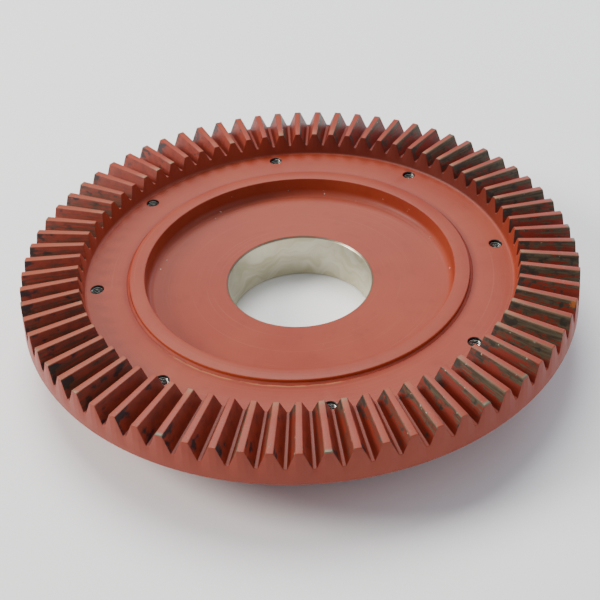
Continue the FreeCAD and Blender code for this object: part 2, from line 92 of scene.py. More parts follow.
camera_data = bpy.data.cameras.new("camera")
camera_data.sensor_width = 36
camera_data.lens = 64.86
camera = bpy.data.objects.new("camera", camera_data)
bpy.context.scene.collection.objects.link(camera)
turned = Matrix((right, up, back)).transposed().to_4x4()
camera.matrix_world = Matrix.Translation(look_at + back * CAMERA_DISTANCE) @ turned
bpy.context.scene.camera = camera
print("camera", round(CAMERA_DISTANCE / MM), "mm from the point it looks at")


# %% [markdown]
# ## Outlines with rounded corners
# Turned and machined parts have no knife edges: every corner is broken, and paint rounds it further. A
# Bevel modifier could do that, but here each part is drawn as an outline whose corners carry their own
# radius, so that the rounding is exact and the mesh stays tidy. A corner with no radius stays sharp.

# %% A helper that rounds the corners of an outline
ARC_STEPS = 3


def rounded(corners, closed=True, steps=ARC_STEPS):
    """Points along an outline given as (across, up, corner radius), in millimetres."""
    points = []
    count = len(corners)
    for index, (across, height, radius) in enumerate(corners):
        at = Vector((across, height))
        if radius == 0 or (not closed and index in (0, count - 1)):
            points.append((at.x, at.y))
            continue
        before = Vector(corners[index - 1][:2]) - at
        after = Vector(corners[(index + 1) % count][:2]) - at
        before.normalize()
        after.normalize()
        half = math.acos(max(-1, min(1, before.dot(after)))) / 2
        reach = radius / math.tan(half)
        centre = at + (before + after).normalized() * radius / math.sin(half)
        start = (at + before * reach - centre).normalized()
        end = (at + after * reach - centre).normalized()
        for step in range(steps + 1):
            share = step / steps
            spoke = start.slerp(end, share) * radius
            points.append((centre.x + spoke.x, centre.y + spoke.y))
    return points


# %% [markdown]
# ## One tooth gap of the geared ring
# All 72 gaps are alike, so only one is modelled and Geometry Nodes repeat it. A bevel tooth shrinks towards
# the cone's apex on the axis: every point of its flank keeps its angle round the axis, and its height is
# measured from the pitch cone in proportion to its radius. That makes a neat grid. Columns run along the
# tooth at a fixed angle, and rows follow the ring's section from the annulus over the tooth to the back.

# %% The shape of a tooth gap, seen along the tooth
TEETH = 72
PITCH_RADIUS = 216.0
PITCH_HEIGHT = 63.5
ADDENDUM, DEDENDUM = 6.0, 7.5
PRESSURE_ANGLE = math.radians(22.5)
ROOT_LAND = 2.6
SHAFT_ANGLE = math.radians(100)
PINION_TEETH = 18
CONE_SLOPE = (PINION_TEETH / TEETH + math.cos(SHAFT_ANGLE)) / math.sin(SHAFT_ANGLE)
APEX = PITCH_HEIGHT + PITCH_RADIUS * CONE_SLOPE
HALF_PITCH = PITCH_RADIUS * math.pi / TEETH
HALF_MOUTH = ROOT_LAND / 2 + (ADDENDUM + DEDENDUM) * math.tan(PRESSURE_ANGLE)

half_gap = rounded(
    [
        (0, -DEDENDUM, 0),
        (ROOT_LAND / 2, -DEDENDUM, 0.7),
        (HALF_MOUTH, ADDENDUM, 0.8),
        (HALF_PITCH, ADDENDUM, 0),
    ],
    closed=False,
)
gap_shape = [(-across, rise) for across, rise in reversed(half_gap[1:])] + half_gap
print("gap drawn with", len(gap_shape), "columns; land", round(2 * (HALF_PITCH - HALF_MOUTH), 2), "mm wide")


# %% The rows of one column, from the annulus over the tooth to the back cone
BALLS = 34
BALL_DIAMETER, SPACER_THICKNESS = 20.0, 5.06
BALL_CIRCLE = BALLS * (BALL_DIAMETER + SPACER_THICKNESS) / (2 * math.pi)
BALL_HEIGHT = 26.0
GROOVE_RADIUS = 10.03
HALF_SPLIT = 1.1
HUB_RADIUS = BALL_CIRCLE - HALF_SPLIT
RING_BORE = BALL_CIRCLE + HALF_SPLIT
ANNULUS_HEIGHT = 53.0
ANNULUS_WIDTH = 32.8
WALL_RADIUS = RING_BORE + ANNULUS_WIDTH
TOE_OVERHANG = 2.5
TOE_RADIUS = WALL_RADIUS + TOE_OVERHANG
HEEL_OVERHANG = 2.0
HEEL_RADIUS = PITCH_RADIUS + ADDENDUM * CONE_SLOPE
RIM_RADIUS = HEEL_RADIUS + HEEL_OVERHANG
RIM_HEIGHT = ANNULUS_HEIGHT - 12.0
RIM_CHAMFER = 1.5
BACK_RADIUS = RING_BORE + 41.3
BACK_HEIGHT = 3.5


def crossing(rise, radius, height, lean):
    """Where the line to the apex, at a rise above the pitch cone, meets a wall that leans as it goes up."""
    slope = (APEX - PITCH_HEIGHT - rise) / PITCH_RADIUS
    across = (radius + (APEX - height) * lean) / (1 + slope * lean)
    return across, APEX - slope * across


TOE_HEIGHT = APEX - (APEX - PITCH_HEIGHT - ADDENDUM) / PITCH_RADIUS * TOE_RADIUS
HEEL_HEIGHT = APEX - (APEX - PITCH_HEIGHT - ADDENDUM) / PITCH_RADIUS * HEEL_RADIUS
WALL_LEAN = TOE_OVERHANG / (TOE_HEIGHT - ANNULUS_HEIGHT)
HEEL_LEAN = -HEEL_OVERHANG / (HEEL_HEIGHT - RIM_HEIGHT - RIM_CHAMFER)
FOOT_RADIUS = WALL_RADIUS - 3.0
CONE_RUN = (RIM_RADIUS - RIM_CHAMFER - BACK_RADIUS) / (RIM_HEIGHT - BACK_HEIGHT)
LIP = 2.0
LIP_CORNER = (RIM_RADIUS - RIM_CHAMFER - LIP * CONE_RUN, RIM_HEIGHT - LIP, 0)


def tooth_column(rise):
    """One column of points, from the foot of the wall over the tooth to just below the rim."""
    toe = crossing(rise, WALL_RADIUS, ANNULUS_HEIGHT, WALL_LEAN)
    heel = crossing(rise, HEEL_RADIUS, HEEL_HEIGHT, HEEL_LEAN)
    return rounded(
        [
            (FOOT_RADIUS, ANNULUS_HEIGHT, 0),
            (WALL_RADIUS, ANNULUS_HEIGHT, 2.0),
            (*toe, 0.5),
            (*heel, 0.5),
            (RIM_RADIUS, RIM_HEIGHT + RIM_CHAMFER, 0.6),
            (RIM_RADIUS - RIM_CHAMFER, RIM_HEIGHT, 0.6),
            LIP_CORNER,
        ],
        closed=False,
    )


GROOVE_STEPS = 16


def groove(low, high, facing):
    """The ball groove's arc from one height to another; facing is +1 in the outer ring and -1 in the hub."""
    start = math.asin((low - BALL_HEIGHT) / GROOVE_RADIUS)
    end = math.asin((high - BALL_HEIGHT) / GROOVE_RADIUS)
    arc = []
    for step in range(GROOVE_STEPS + 1):
        turn = start + (end - start) * step / GROOVE_STEPS
        across = BALL_CIRCLE + facing * GROOVE_RADIUS * math.cos(turn)
        arc.append((across, BALL_HEIGHT + GROOVE_RADIUS * math.sin(turn), 0))
    return arc


GROOVE_REACH = math.sqrt(GROOVE_RADIUS ** 2 - HALF_SPLIT ** 2)
print("balls on a circle", round(2 * BALL_CIRCLE, 1), "mm across; rim", round(2 * RIM_RADIUS, 1), "mm")


# %% [markdown]
# The rest of the ring's section doesn't change from tooth to tooth, so it needs far fewer columns. One face
# with many corners joins the fine columns to the coarse ones, above on the flat annulus and below on the
# back cone, where such a face stays flat.

# %% Build the mesh of one sector
def spot(radius, height, angle):
    """A point of the bearing: radius and height in millimetres, angle in radians."""
    return Vector((radius * math.cos(angle), radius * math.sin(angle), height)) * MM


def mesh_object(name, mesh_maker):
    """Run a function that fills a bmesh, and put the result in a new object."""
    mesh = bpy.data.meshes.new(name)
    maker = bmesh.new()
    mesh_maker(maker)
    bmesh.ops.remove_doubles(maker, verts=maker.verts, dist=1e-7)
    maker.to_mesh(mesh)
    maker.free()
    piece = bpy.data.objects.new(name, mesh)
    bpy.context.scene.collection.objects.link(piece)
    return piece


SLOT_NEAR, SLOT_FAR = 2.85, 5.45
SLOT_FLOOR = RING_BORE + 2.05
plain_rows = rounded([
    LIP_CORNER,
    (BACK_RADIUS, BACK_HEIGHT, 0.8),
    (RING_BORE, BACK_HEIGHT, 0.3),
    (RING_BORE, BACK_HEIGHT + SLOT_NEAR, 0),
    (SLOT_FLOOR, BACK_HEIGHT + SLOT_NEAR, 0),
    (SLOT_FLOOR, BACK_HEIGHT + SLOT_FAR, 0),
    (RING_BORE, BACK_HEIGHT + SLOT_FAR, 0),
    *groove(BALL_HEIGHT - GROOVE_REACH, BALL_HEIGHT + GROOVE_REACH, 1),
    (RING_BORE, ANNULUS_HEIGHT - SLOT_FAR, 0),
    (SLOT_FLOOR, ANNULUS_HEIGHT - SLOT_FAR, 0),
    (SLOT_FLOOR, ANNULUS_HEIGHT - SLOT_NEAR, 0),
    (RING_BORE, ANNULUS_HEIGHT - SLOT_NEAR, 0),
    (RING_BORE, ANNULUS_HEIGHT, 0.3),
    (FOOT_RADIUS, ANNULUS_HEIGHT, 0),
], closed=False)
COARSE_ANGLES = [-math.pi / TEETH, 0.0, math.pi / TEETH]


def join_columns(maker, columns, first_row, last_row):
    """Faces between each column of points and the next, from one row to another."""
    for column, after in zip(columns, columns[1:]):
        for row in range(first_row, last_row):
            maker.faces.new((column[row], column[row + 1], after[row + 1], after[row]))


def sector(maker):
    """One tooth gap with the ring below it, drawn from fine columns above and coarse ones below."""
    columns = []
    for across, rise in gap_shape:
        angle = across / PITCH_RADIUS
        columns.append([maker.verts.new(spot(r, z, angle)) for r, z in tooth_column(rise)])
    join_columns(maker, columns, 0, len(columns[0]) - 1)
    plain = []
    for angle in COARSE_ANGLES:
        plain.append([maker.verts.new(spot(r, z, angle)) for r, z in plain_rows])
    join_columns(maker, plain, 1, len(plain_rows) - 2)
    middle = len(columns) // 2
    for first, last, coarse in ((0, middle, 0), (middle, len(columns) - 1, 1)):
        fine_low = [columns[index][-1] for index in range(last, first - 1, -1)]
        maker.faces.new(fine_low + [plain[coarse][1], plain[coarse + 1][1]])
        fine_high = [columns[index][0] for index in range(first, last + 1)]
        maker.faces.new(fine_high + [plain[coarse + 1][-2], plain[coarse][-2]])
    for column in plain:
        maker.verts.remove(column[0])
        maker.verts.remove(column[-1])


gear_sector = mesh_object("gear_sector", sector)
print("one sector has", len(gear_sector.data.polygons), "faces")


# %% [markdown]
# ## Hub ring and lower race ring
# Both are turned parts, the same all the way round, so a narrow strip of their section is enough: a strip
# 2.5 degrees wide, repeated 144 times, is round to a few hundredths of a millimetre.

# %% Build the strips of the turned rings
STRIPS = 144
BAND_HEIGHT = ANNULUS_HEIGHT + 3.0
FLOOR_HEIGHT = BAND_HEIGHT - 16.0
RECESS_RADIUS = HUB_RADIUS - 12.0
SPIGOT_RADIUS = HUB_RADIUS - 34.5
SPIGOT_CLEARANCE = 0.05
SHIM_TOP, SHIM_BOTTOM = 26.25, 25.75
RACE_BOTTOM = 0.5
BORE_RADIUS = 57.5
BORE_CHAMFER = 1.5


def strip(name, outline):
    """A strip of a turned ring; the outline runs so that the metal is on its left."""

    def fill(maker):
        sides = []
        for angle in (-math.pi / STRIPS, math.pi / STRIPS):
            sides.append([maker.verts.new(spot(r, z, angle)) for r, z in outline])
        one, other = sides
        for row in range(len(outline)):
            after = (row + 1) % len(outline)
            maker.faces.new((one[row], other[row], other[after], one[after]))

    return mesh_object(name, fill)


hub_strip = strip("hub_strip", rounded([
    (BORE_RADIUS + BORE_CHAMFER, 0, 0.3),
    (SPIGOT_RADIUS, 0, 0.3),
    (SPIGOT_RADIUS, SHIM_TOP, 0),
    *groove(SHIM_TOP, BALL_HEIGHT + GROOVE_REACH, -1),
    (HUB_RADIUS, BAND_HEIGHT, 0.7),
    (RECESS_RADIUS, BAND_HEIGHT, 0.7),
    (RECESS_RADIUS, FLOOR_HEIGHT, 5.5),
    (BORE_RADIUS + BORE_CHAMFER, FLOOR_HEIGHT, 0.3),
    (BORE_RADIUS, FLOOR_HEIGHT - BORE_CHAMFER, 0.3),
    (BORE_RADIUS, BORE_CHAMFER, 0.3),
]))
race_strip = strip("race_strip", rounded([
    (SPIGOT_RADIUS + SPIGOT_CLEARANCE, RACE_BOTTOM, 0.3),
    (HUB_RADIUS, RACE_BOTTOM, 0.6),
    *groove(BALL_HEIGHT - GROOVE_REACH, SHIM_BOTTOM, -1),
    (SPIGOT_RADIUS + SPIGOT_CLEARANCE, SHIM_BOTTOM, 0),
]))
for piece in (hub_strip, race_strip):
    print(piece.name, "has", len(piece.data.polygons), "faces")


# %% [markdown]
# ## Cutters for the drilled holes
# A hole is cut by a plug of the hole's own shape. The plugs are turned about their own axis, so a helper
# spins an outline into a closed plug, and a matrix then lays it where the hole is.

# %% Turn the cutters
PLUG_STEPS = 32


def plug(name, outline, where, steps=PLUG_STEPS):
    """A closed solid turned about Z from (radius, height) points that start and end on the axis."""

    def fill(maker):
        rings = []
        for r, z in outline:
            if r == 0:
                rings.append([maker.verts.new((0, 0, z * MM))])
                continue
            ring = []
            for step in range(steps):
                ring.append(maker.verts.new(spot(r, z, 2 * math.pi * step / steps)))
            rings.append(ring)
        for low, high in zip(rings, rings[1:]):
            for step in range(steps):
                after = (step + 1) % steps
                corners = [low[step % len(low)], low[after % len(low)]]
                corners += [high[after % len(high)], high[step % len(high)]]
                maker.faces.new(list(dict.fromkeys(corners)))
        bmesh.ops.transform(maker, matrix=where, verts=maker.verts)

    return mesh_object(name, fill)


def upright(radius, angle=0.0):
    """The matrix that puts something drawn on the Z axis at a radius and an angle."""
    return Matrix.Translation(spot(radius, 0, angle))


TABLE_HOLES, SCREWS, DOWELS = 8, 12, 2
TABLE_HOLE_CIRCLE = WALL_RADIUS - 9.5
TABLE_HOLE_RADIUS, TABLE_HOLE_BOTTOM = 5, 33
SCREW_CIRCLE = HUB_RADIUS - 22.5
DOWEL_ANGLE = math.radians(15)
DOWEL_BORE = 3.01
THREAD_BORE = 4.05
# Just below and just above the joint between the two rings, so that every cut runs clear of its face.
JOINT_BELOW, JOINT_ABOVE = 25.5, 27
CONE_RADIUS = BACK_RADIUS + (BALL_HEIGHT - BACK_HEIGHT) * CONE_RUN
NIPPLE_SEAT = CONE_RADIUS - 9.4
nipple_names = [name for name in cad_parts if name.startswith("grease_nipple")]
outwards = Matrix.Translation(spot(NIPPLE_SEAT, BALL_HEIGHT, 0)) @ Matrix.Rotation(math.pi / 2, 4, "Y")
channel_end = BALL_CIRCLE + 8.0 - NIPPLE_SEAT

table_hole = plug("table_hole", [
    (0, TABLE_HOLE_BOTTOM), (TABLE_HOLE_RADIUS, TABLE_HOLE_BOTTOM), (TABLE_HOLE_RADIUS, 52.5),
    (6.1, 53.6), (0, 53.6),
], upright(TABLE_HOLE_CIRCLE))
nipple_hole = plug("nipple_hole", [
    (0, channel_end), (2, channel_end), (2, -13), (THREAD_BORE, -13), (THREAD_BORE, 0),
    (8, 0), (8, 40), (0, 40),
], outwards, 48)
screw_thread = plug("screw_thread", [
    (0, JOINT_BELOW), (THREAD_BORE, JOINT_BELOW), (THREAD_BORE, 37.25), (0, 37.25),
], upright(SCREW_CIRCLE))
screw_hole = plug("screw_hole", [
    (0, -1), (8.45, -1), (7.25, 0.8), (7.25, 9), (4.5, 9), (4.5, JOINT_ABOVE), (0, JOINT_ABOVE),
], upright(SCREW_CIRCLE))
hub_dowel = plug("hub_dowel", [
    (0, JOINT_BELOW), (DOWEL_BORE, JOINT_BELOW), (DOWEL_BORE, 36.75), (0, 36.75),
], upright(SCREW_CIRCLE, DOWEL_ANGLE))
race_dowel = plug("race_dowel", [
    (0, -1), (DOWEL_BORE, -1), (DOWEL_BORE, JOINT_ABOVE), (0, JOINT_ABOVE),
], upright(SCREW_CIRCLE, DOWEL_ANGLE))
cutters = (table_hole, nipple_hole, screw_thread, screw_hole, hub_dowel, race_dowel)
print(len(cutters), "cutters turned:", ", ".join(cutter.name for cutter in cutters))


# %% [markdown]
# ## Geometry Nodes that repeat a part round the axis
# Everything on a bearing repeats round one axis, and one small node group does it: a line of points that
# all lie on the axis, each with a copy of the part, turned by its own share of the circle. The ring trees
# below use it for the sectors and again for the cutters.

# %% The node group that repeats round the axis
def add_node(tree, kind, inputs, **settings):
    """Add a geometry node; an input that is a socket is linked and any other value is set."""
    node = tree.nodes.new(kind)
    for name, value in settings.items():
        setattr(node, name, value)
    for name, value in inputs.items():
        if isinstance(value, bpy.types.NodeSocket):
            tree.links.new(value, node.inputs[name])
        else:
            node.inputs[name].default_value = value
    return node


def new_tree(name, inputs):
    """An empty tree with one geometry output; inputs are (name, socket type) pairs."""
    tree = bpy.data.node_groups.new(name, "GeometryNodeTree")
    tree.interface.new_socket("Geometry", in_out="OUTPUT", socket_type="NodeSocketGeometry")
    for socket_name, kind in inputs:
        tree.interface.new_socket(socket_name, in_out="INPUT", socket_type=kind)
    return tree, tree.nodes.new("NodeGroupInput").outputs


def number(tree, operation, first, second):
    """A sum on two numbers, worked out by a Math node of a geometry tree."""
    return add_node(tree, "ShaderNodeMath", {0: first, 1: second}, operation=operation).outputs[0]


repeat_tree, given = new_tree("repeat_round_axis", [
    ("Part", "NodeSocketGeometry"), ("Count", "NodeSocketInt"),
])
turn_step = number(repeat_tree, "DIVIDE", 2 * math.pi, given["Count"])
turn_index = add_node(repeat_tree, "GeometryNodeInputIndex", {}).outputs[0]
turn_angle = number(repeat_tree, "MULTIPLY", turn_index, turn_step)
turn_vector = add_node(repeat_tree, "ShaderNodeCombineXYZ", {"Z": turn_angle}).outputs[0]
axis_points = add_node(repeat_tree, "GeometryNodeMeshLine", {"Count": given["Count"], "Offset": (0, 0, 0)})
copies = add_node(repeat_tree, "GeometryNodeInstanceOnPoints", {
    "Points": axis_points.outputs[0], "Instance": given["Part"], "Rotation": turn_vector,
})
joined_copies = add_node(repeat_tree, "GeometryNodeRealizeInstances", {"Geometry": copies.outputs[0]})
add_node(repeat_tree, "NodeGroupOutput", {"Geometry": joined_copies.outputs[0]})
print(repeat_tree.name, "has", len(repeat_tree.nodes), "nodes")


def repeat(tree, part, count):
    """Use the group above inside another tree."""
    group = tree.nodes.new("GeometryNodeGroup")
    group.node_tree = repeat_tree
    tree.links.new(part, group.inputs["Part"])
    tree.links.new(count, group.inputs["Count"])
    return group.outputs[0]


# %% The tree that makes a ring from a sector and cuts its holes
SHARP_EDGE = math.radians(32)
WELD_DISTANCE = 0.002 * MM


def finish_tree(tree, geometry, material):
    """Smooth shading with sharp edges by angle, then the two nodes that every tree ends in."""
    angle = add_node(tree, "GeometryNodeInputMeshEdgeAngle", {}).outputs[0]
    gentle = add_node(tree, "FunctionNodeCompare", {0: angle, 1: SHARP_EDGE}, operation="LESS_THAN")
    faces = add_node(tree, "GeometryNodeSetShadeSmooth", {"Geometry": geometry, "Shade Smooth": True})
    edges = add_node(tree, "GeometryNodeSetShadeSmooth", {
        "Geometry": faces.outputs[0], "Shade Smooth": gentle.outputs[0],
    }, domain="EDGE")
    real = add_node(tree, "GeometryNodeRealizeInstances", {"Geometry": edges.outputs[0]})
    painted = add_node(tree, "GeometryNodeSetMaterial", {"Geometry": real.outputs[0], "Material": material})
    add_node(tree, "NodeGroupOutput", {"Geometry": painted.outputs[0]})


def baked(piece, tree, values):
    """Run a tree on a piece, turn the result into a plain mesh and remove the modifier."""
    modifier = piece.modifiers.new("nodes", "NODES")
    modifier.node_group = tree
    for item in tree.interface.items_tree:
        if item.item_type == "SOCKET" and item.in_out == "INPUT" and item.name in values:
            modifier[item.identifier] = values[item.name]
    bpy.context.view_layer.update()
    evaluated = piece.evaluated_get(bpy.context.evaluated_depsgraph_get())
    mesh = bpy.data.meshes.new_from_object(evaluated)
    piece.modifiers.clear()
    piece.data = mesh
    print(piece.name, "has", sum(len(face.vertices) - 2 for face in mesh.polygons), "triangles")
    return piece


def ring_of_sectors(name, sector_piece, sectors, holes, material):
    """Repeat a sector into a ring and cut its holes, given as (cutter, how many) pairs."""
    inputs = [
        ("Sector", "NodeSocketGeometry"), ("Sectors", "NodeSocketInt"), ("Finish", "NodeSocketMaterial"),
    ]
    for cutter, _ in holes:
        inputs.append((f"{cutter.name} plug", "NodeSocketObject"))
        inputs.append((f"{cutter.name} count", "NodeSocketInt"))
    tree, given = new_tree(name, inputs)
    ring = repeat(tree, given["Sector"], given["Sectors"])
    merged = add_node(tree, "GeometryNodeMergeByDistance", {"Geometry": ring, "Distance": WELD_DISTANCE})
    ring = merged.outputs[0]
    values = {"Sectors": sectors, "Finish": material}
    for cutter, count in holes:
        shape = add_node(tree, "GeometryNodeObjectInfo", {"Object": given[f"{cutter.name} plug"]})
        plugs = repeat(tree, shape.outputs["Geometry"], given[f"{cutter.name} count"])
        cut = add_node(tree, "GeometryNodeMeshBoolean", {}, operation="DIFFERENCE", solver="MANIFOLD")
        tree.links.new(ring, cut.inputs["Mesh 1"])
        tree.links.new(plugs, cut.inputs["Mesh 2"])
        ring = cut.outputs["Mesh"]
        values[f"{cutter.name} plug"] = cutter
        values[f"{cutter.name} count"] = count
    finish_tree(tree, ring, given["Finish"])
    sector_piece.name = name
    return baked(sector_piece, tree, values)


# %% [markdown]
# ## Writing shader maths as plain expressions
# A finish here depends on where a point lies on the bearing: its radius, its angle and its height above the
# tooth's root. Drawn as nodes, that is a large web of Math nodes. The class below wraps one output socket,
# and every operator on it adds the Math node that does the sum, so a finish reads like a formula.

# %% A class that wraps a shader socket
class Flow:
    """One output of a shader tree; arithmetic on it adds Math nodes to the same tree."""

    def __init__(self, tree, socket=None):
        self.tree, self.socket = tree, socket

    def node(self, kind, inputs=None, output=0, **settings):
        """Add any node: its settings first, then the values or links of its sockets."""
        made = self.tree.nodes.new(kind)
        for name, value in settings.items():
            setattr(made, name, value)
        for name, value in (inputs or {}).items():
            if isinstance(value, Flow):
                self.tree.links.new(value.socket, made.inputs[name])
            else:
                made.inputs[name].default_value = value
        return Flow(self.tree, made.outputs[output])

    def math(self, operation, *others, flipped=False):
        """A Math node on this value and others; flipped puts this value last."""
        values = (*others, self) if flipped else (self, *others)
        return self.node("ShaderNodeMath", dict(enumerate(values)), operation=operation)

    def __add__(self, other):
        return self.math("ADD", other)

    __radd__ = __add__

    def __mul__(self, other):
        return self.math("MULTIPLY", other)

    __rmul__ = __mul__

    def __sub__(self, other):
        return self.math("SUBTRACT", other)

    def __rsub__(self, other):
        return self.math("SUBTRACT", other, flipped=True)

    def __truediv__(self, other):
        return self.math("DIVIDE", other)

    def __neg__(self):
        return self.math("MULTIPLY", -1)

    def __lt__(self, other):
        return self.math("LESS_THAN", other)

    def __gt__(self, other):
        return self.math("GREATER_THAN", other)

    def step(self, low, high):
        """0 below low, 1 above high, and a soft slope between them."""
        return self.node("ShaderNodeMapRange", {
            "Value": self, "From Min": low, "From Max": high,
        }, interpolation_type="SMOOTHSTEP")

    def blend(self, first, second):
        """Mix two colours by this value: 0 gives the first and 1 the second."""
        return self.node("ShaderNodeMix", {0: self, 6: first, 7: second}, output=2, data_type="RGBA")


def srgb(red, green, blue):
    """A colour as a painter reads it off a chart, 0 to 255, made linear for the shader."""
    return (*(((c / 255 + 0.055) / 1.055) ** 2.4 if c > 10 else c / 3295 for c in (red, green, blue)), 1)


# %% [markdown]
# ## Where a point lies on the bearing
# Object coordinates turn with the part, so the pattern stays on the metal while the ring slews. From them
# come the radius, the angle counted in teeth, and the noises that make paint uneven.

# %% Coordinates and noises shared by the finishes
class Place:
    """The coordinates of a point on the bearing, as flows of one material."""

    def __init__(self, start):
        self.start = start
        self.point = start.node("ShaderNodeTexCoord", output=3)
        self.x = start.node("ShaderNodeSeparateXYZ", {0: self.point}, 0)
        self.y = start.node("ShaderNodeSeparateXYZ", {0: self.point}, 1)
        self.z = start.node("ShaderNodeSeparateXYZ", {0: self.point}, 2)
        self.radius = (self.x * self.x + self.y * self.y).math("SQRT")
        self.angle = self.y.math("ARCTAN2", self.x)
        normal = start.node("ShaderNodeTexCoord", output=1)
        self.normal_x = start.node("ShaderNodeSeparateXYZ", {0: normal}, 0)
        self.normal_y = start.node("ShaderNodeSeparateXYZ", {0: normal}, 1)
        self.normal_z = start.node("ShaderNodeSeparateXYZ", {0: normal}, 2)

    def vector(self, x, y, z):
        """Three numbers as one vector, to stretch a noise along the tooth or round the ring."""
        return self.start.node("ShaderNodeCombineXYZ", {0: x, 1: y, 2: z})

    def noise(self, scale, detail, at=None):
        """Cloudy noise at the point itself, or at another vector."""
        return self.start.node("ShaderNodeTexNoise", {
            "Vector": at or self.point, "Scale": scale, "Detail": detail, "Roughness": 0.55,
        })

    def chance(self, value, seed):
        """A fixed random number for each whole value, such as a tooth's number."""
        return self.start.node("ShaderNodeTexWhiteNoise", {"W": value + seed}, 0, noise_dimensions="1D")


def new_material(name):
    """A new material, the coordinates that start its flows, and its principled shader."""
    material = bpy.data.materials.new(name)
    material.use_nodes = True
    tree = material.node_tree
    tree.nodes["Principled BSDF"].inputs["Specular IOR Level"].default_value = 0.38
    return material, Place(Flow(tree)), tree.nodes["Principled BSDF"]


def plug_in(shader, **values):
    """Feed flows or plain values to the principled shader; underscores stand for spaces."""
    for name, value in values.items():
        socket = shader.inputs[name.replace("_", " ")]
        if isinstance(value, Flow):
            value.tree.links.new(value.socket, socket)
        else:
            socket.default_value = value


def bump(place, height, distance, strength=1.0):
    """A normal that follows a height; distance is how deep the whole range of heights goes."""
    return place.start.node("ShaderNodeBump", {"Height": height, "Distance": distance, "Strength": strength})


# %% [markdown]
# ## Red oxide primer
# The steel is sprayed with red oxide primer, a dull brick red with a satin skin that turns pinkish where it
# mirrors the sky. It could be one flat colour, but sprayed primer is never even: it carries soft clouds,
# darker mottling, fine dust, and faint turning marks that show through from the machined face. One function
# mixes that coat, and both painted rings use it.

# %% The coat of primer
PRIMER = srgb(134, 44, 18)
PRIMER_PALE = srgb(140, 53, 27)
PRIMER_DEEP = srgb(118, 33, 10)
PRIMER_DUST = srgb(160, 98, 74)


def primer_coat(place):
    """Colour, roughness and height of the sprayed primer."""
    clouds = place.noise(14, 3)
    mottle = place.noise(90, 3)
    grain = place.noise(1400, 2)
    colour = clouds.step(0.35, 0.7).blend(PRIMER, PRIMER_PALE)
    colour = (mottle.step(0.5, 0.8) * 0.35).blend(colour, PRIMER_DEEP)
    dust = place.noise(520, 2).step(0.70, 0.78) * place.noise(30, 2).step(0.45, 0.7)
    colour = (dust * 0.5).blend(colour, PRIMER_DUST)
    turning = place.noise(1.0, 4, place.vector(place.radius * 900, place.z * 120, place.angle * 0.6))
    flat = place.normal_z.step(0.9, 0.98)
    colour = (turning.step(0.55, 0.8) * flat * 0.22).blend(colour, PRIMER_DUST)
    roughness = 0.40 + clouds * 0.12 + grain * 0.08 + dust * 0.2
    height = grain * 0.35 + mottle * 0.9 + turning * flat * 0.7
    return colour, roughness, height


# %% [markdown]
# ## The painted geared ring
# On the teeth the primer is thin. The flanks that the mating pinion has pushed against have lost it along
# the upper part, down to dark, oily steel, with a ragged lower border and streaks along the tooth. The other
# flanks keep a maroon coat with blue black patches. Every tooth is worn by its own amount, from a random
# number drawn for the tooth. The narrow lands on top are chipped, most at the ends, and one tooth has rusted.
# Each kind of wear, and each patch of painted shade, is a mask between 0 and 1 that blends one more colour
# over the coat below it.

# %% Masks for the parts of the geared ring
def tooth_place(place):
    """Tooth number, how far across the tooth from -0.5 to 0.5, and height from 0 at the root to 1 on top."""
    turns = place.angle * (TEETH / (2 * math.pi)) + TEETH
    pitch_line = APEX * MM - place.radius * CONE_SLOPE
    rise = (place.z - pitch_line) * (PITCH_RADIUS * MM) / place.radius
    profile = (rise + DEDENDUM * MM) / ((ADDENDUM + DEDENDUM) * MM)
    return turns.math("FLOOR"), 0.5 - turns.math("FRACT"), profile


def flank_masks(place):
    """1 on the flanks that face anticlockwise, seen from above, and 1 on those that face clockwise."""
    sideways = (place.normal_y * place.x - place.normal_x * place.y) / place.radius
    on_teeth = (place.radius > (WALL_RADIUS + 0.3) * MM) * (place.z > (ANNULUS_HEIGHT + 0.5) * MM)
    return sideways.step(0.35, 0.75) * on_teeth, (-sideways).step(0.35, 0.75) * on_teeth


def from_hole_axis(place):
    """How far a point lies from the axis of the nearest tapped hole, in metres."""
    share = place.angle * (TABLE_HOLES / (2 * math.pi)) + 0.5
    off_hole = (share.math("FRACT") - 0.5) * (2 * math.pi / TABLE_HOLES)
    across = place.radius * off_hole.math("COSINE") - TABLE_HOLE_CIRCLE * MM
    beside = place.radius * off_hole.math("SINE")
    return (across * across + beside * beside).math("SQRT")


def near(place, radius, angle, height, reach):
    """1 at one point of the bearing and 0 at reach from it, all in millimetres."""
    centre = tuple(spot(radius, height, math.radians(angle)))
    away = place.start.node("ShaderNodeVectorMath", {0: place.point, 1: centre}, 1, operation="DISTANCE")
    return 1 - (away / (reach * MM)).math("MINIMUM", 1)


# %% Colours of the wear and of the painted shade
BLOOD_RED = srgb(116, 28, 8)
BLOOD_RED_DEEP = srgb(88, 22, 7)
MAROON = srgb(126, 42, 24)
MAROON_DEEP = srgb(106, 34, 20)
OILY_STEEL_DARK = srgb(50, 46, 33)
OILY_STEEL = srgb(80, 76, 58)
SOOT = srgb(46, 42, 36)
RUBBED_STEEL = srgb(126, 112, 90)
GLINT = srgb(166, 166, 146)
INK_BLACK = srgb(34, 33, 36)
MOSS = srgb(52, 46, 30)
CHIPPED_STEEL = srgb(98, 100, 82)
LAND_TAN = srgb(160, 106, 76)
LAND_BROWN_PAINTED_LIGHT = srgb(136, 66, 38)
EDGE_BROWN = srgb(96, 74, 50)
GAP_SHADE_RED = srgb(112, 34, 14)
WALL_SHADE_RED = srgb(84, 22, 8)
LOW_EDGE_RED = srgb(150, 50, 30)
SPLIT_SHADE_RED = srgb(122, 33, 7)
FLAKED_TAN = srgb(152, 94, 54)
RUST = srgb(158, 80, 18)
UNPAINTED_STEEL_AND_HOLE_SHADE = srgb(44, 42, 40)


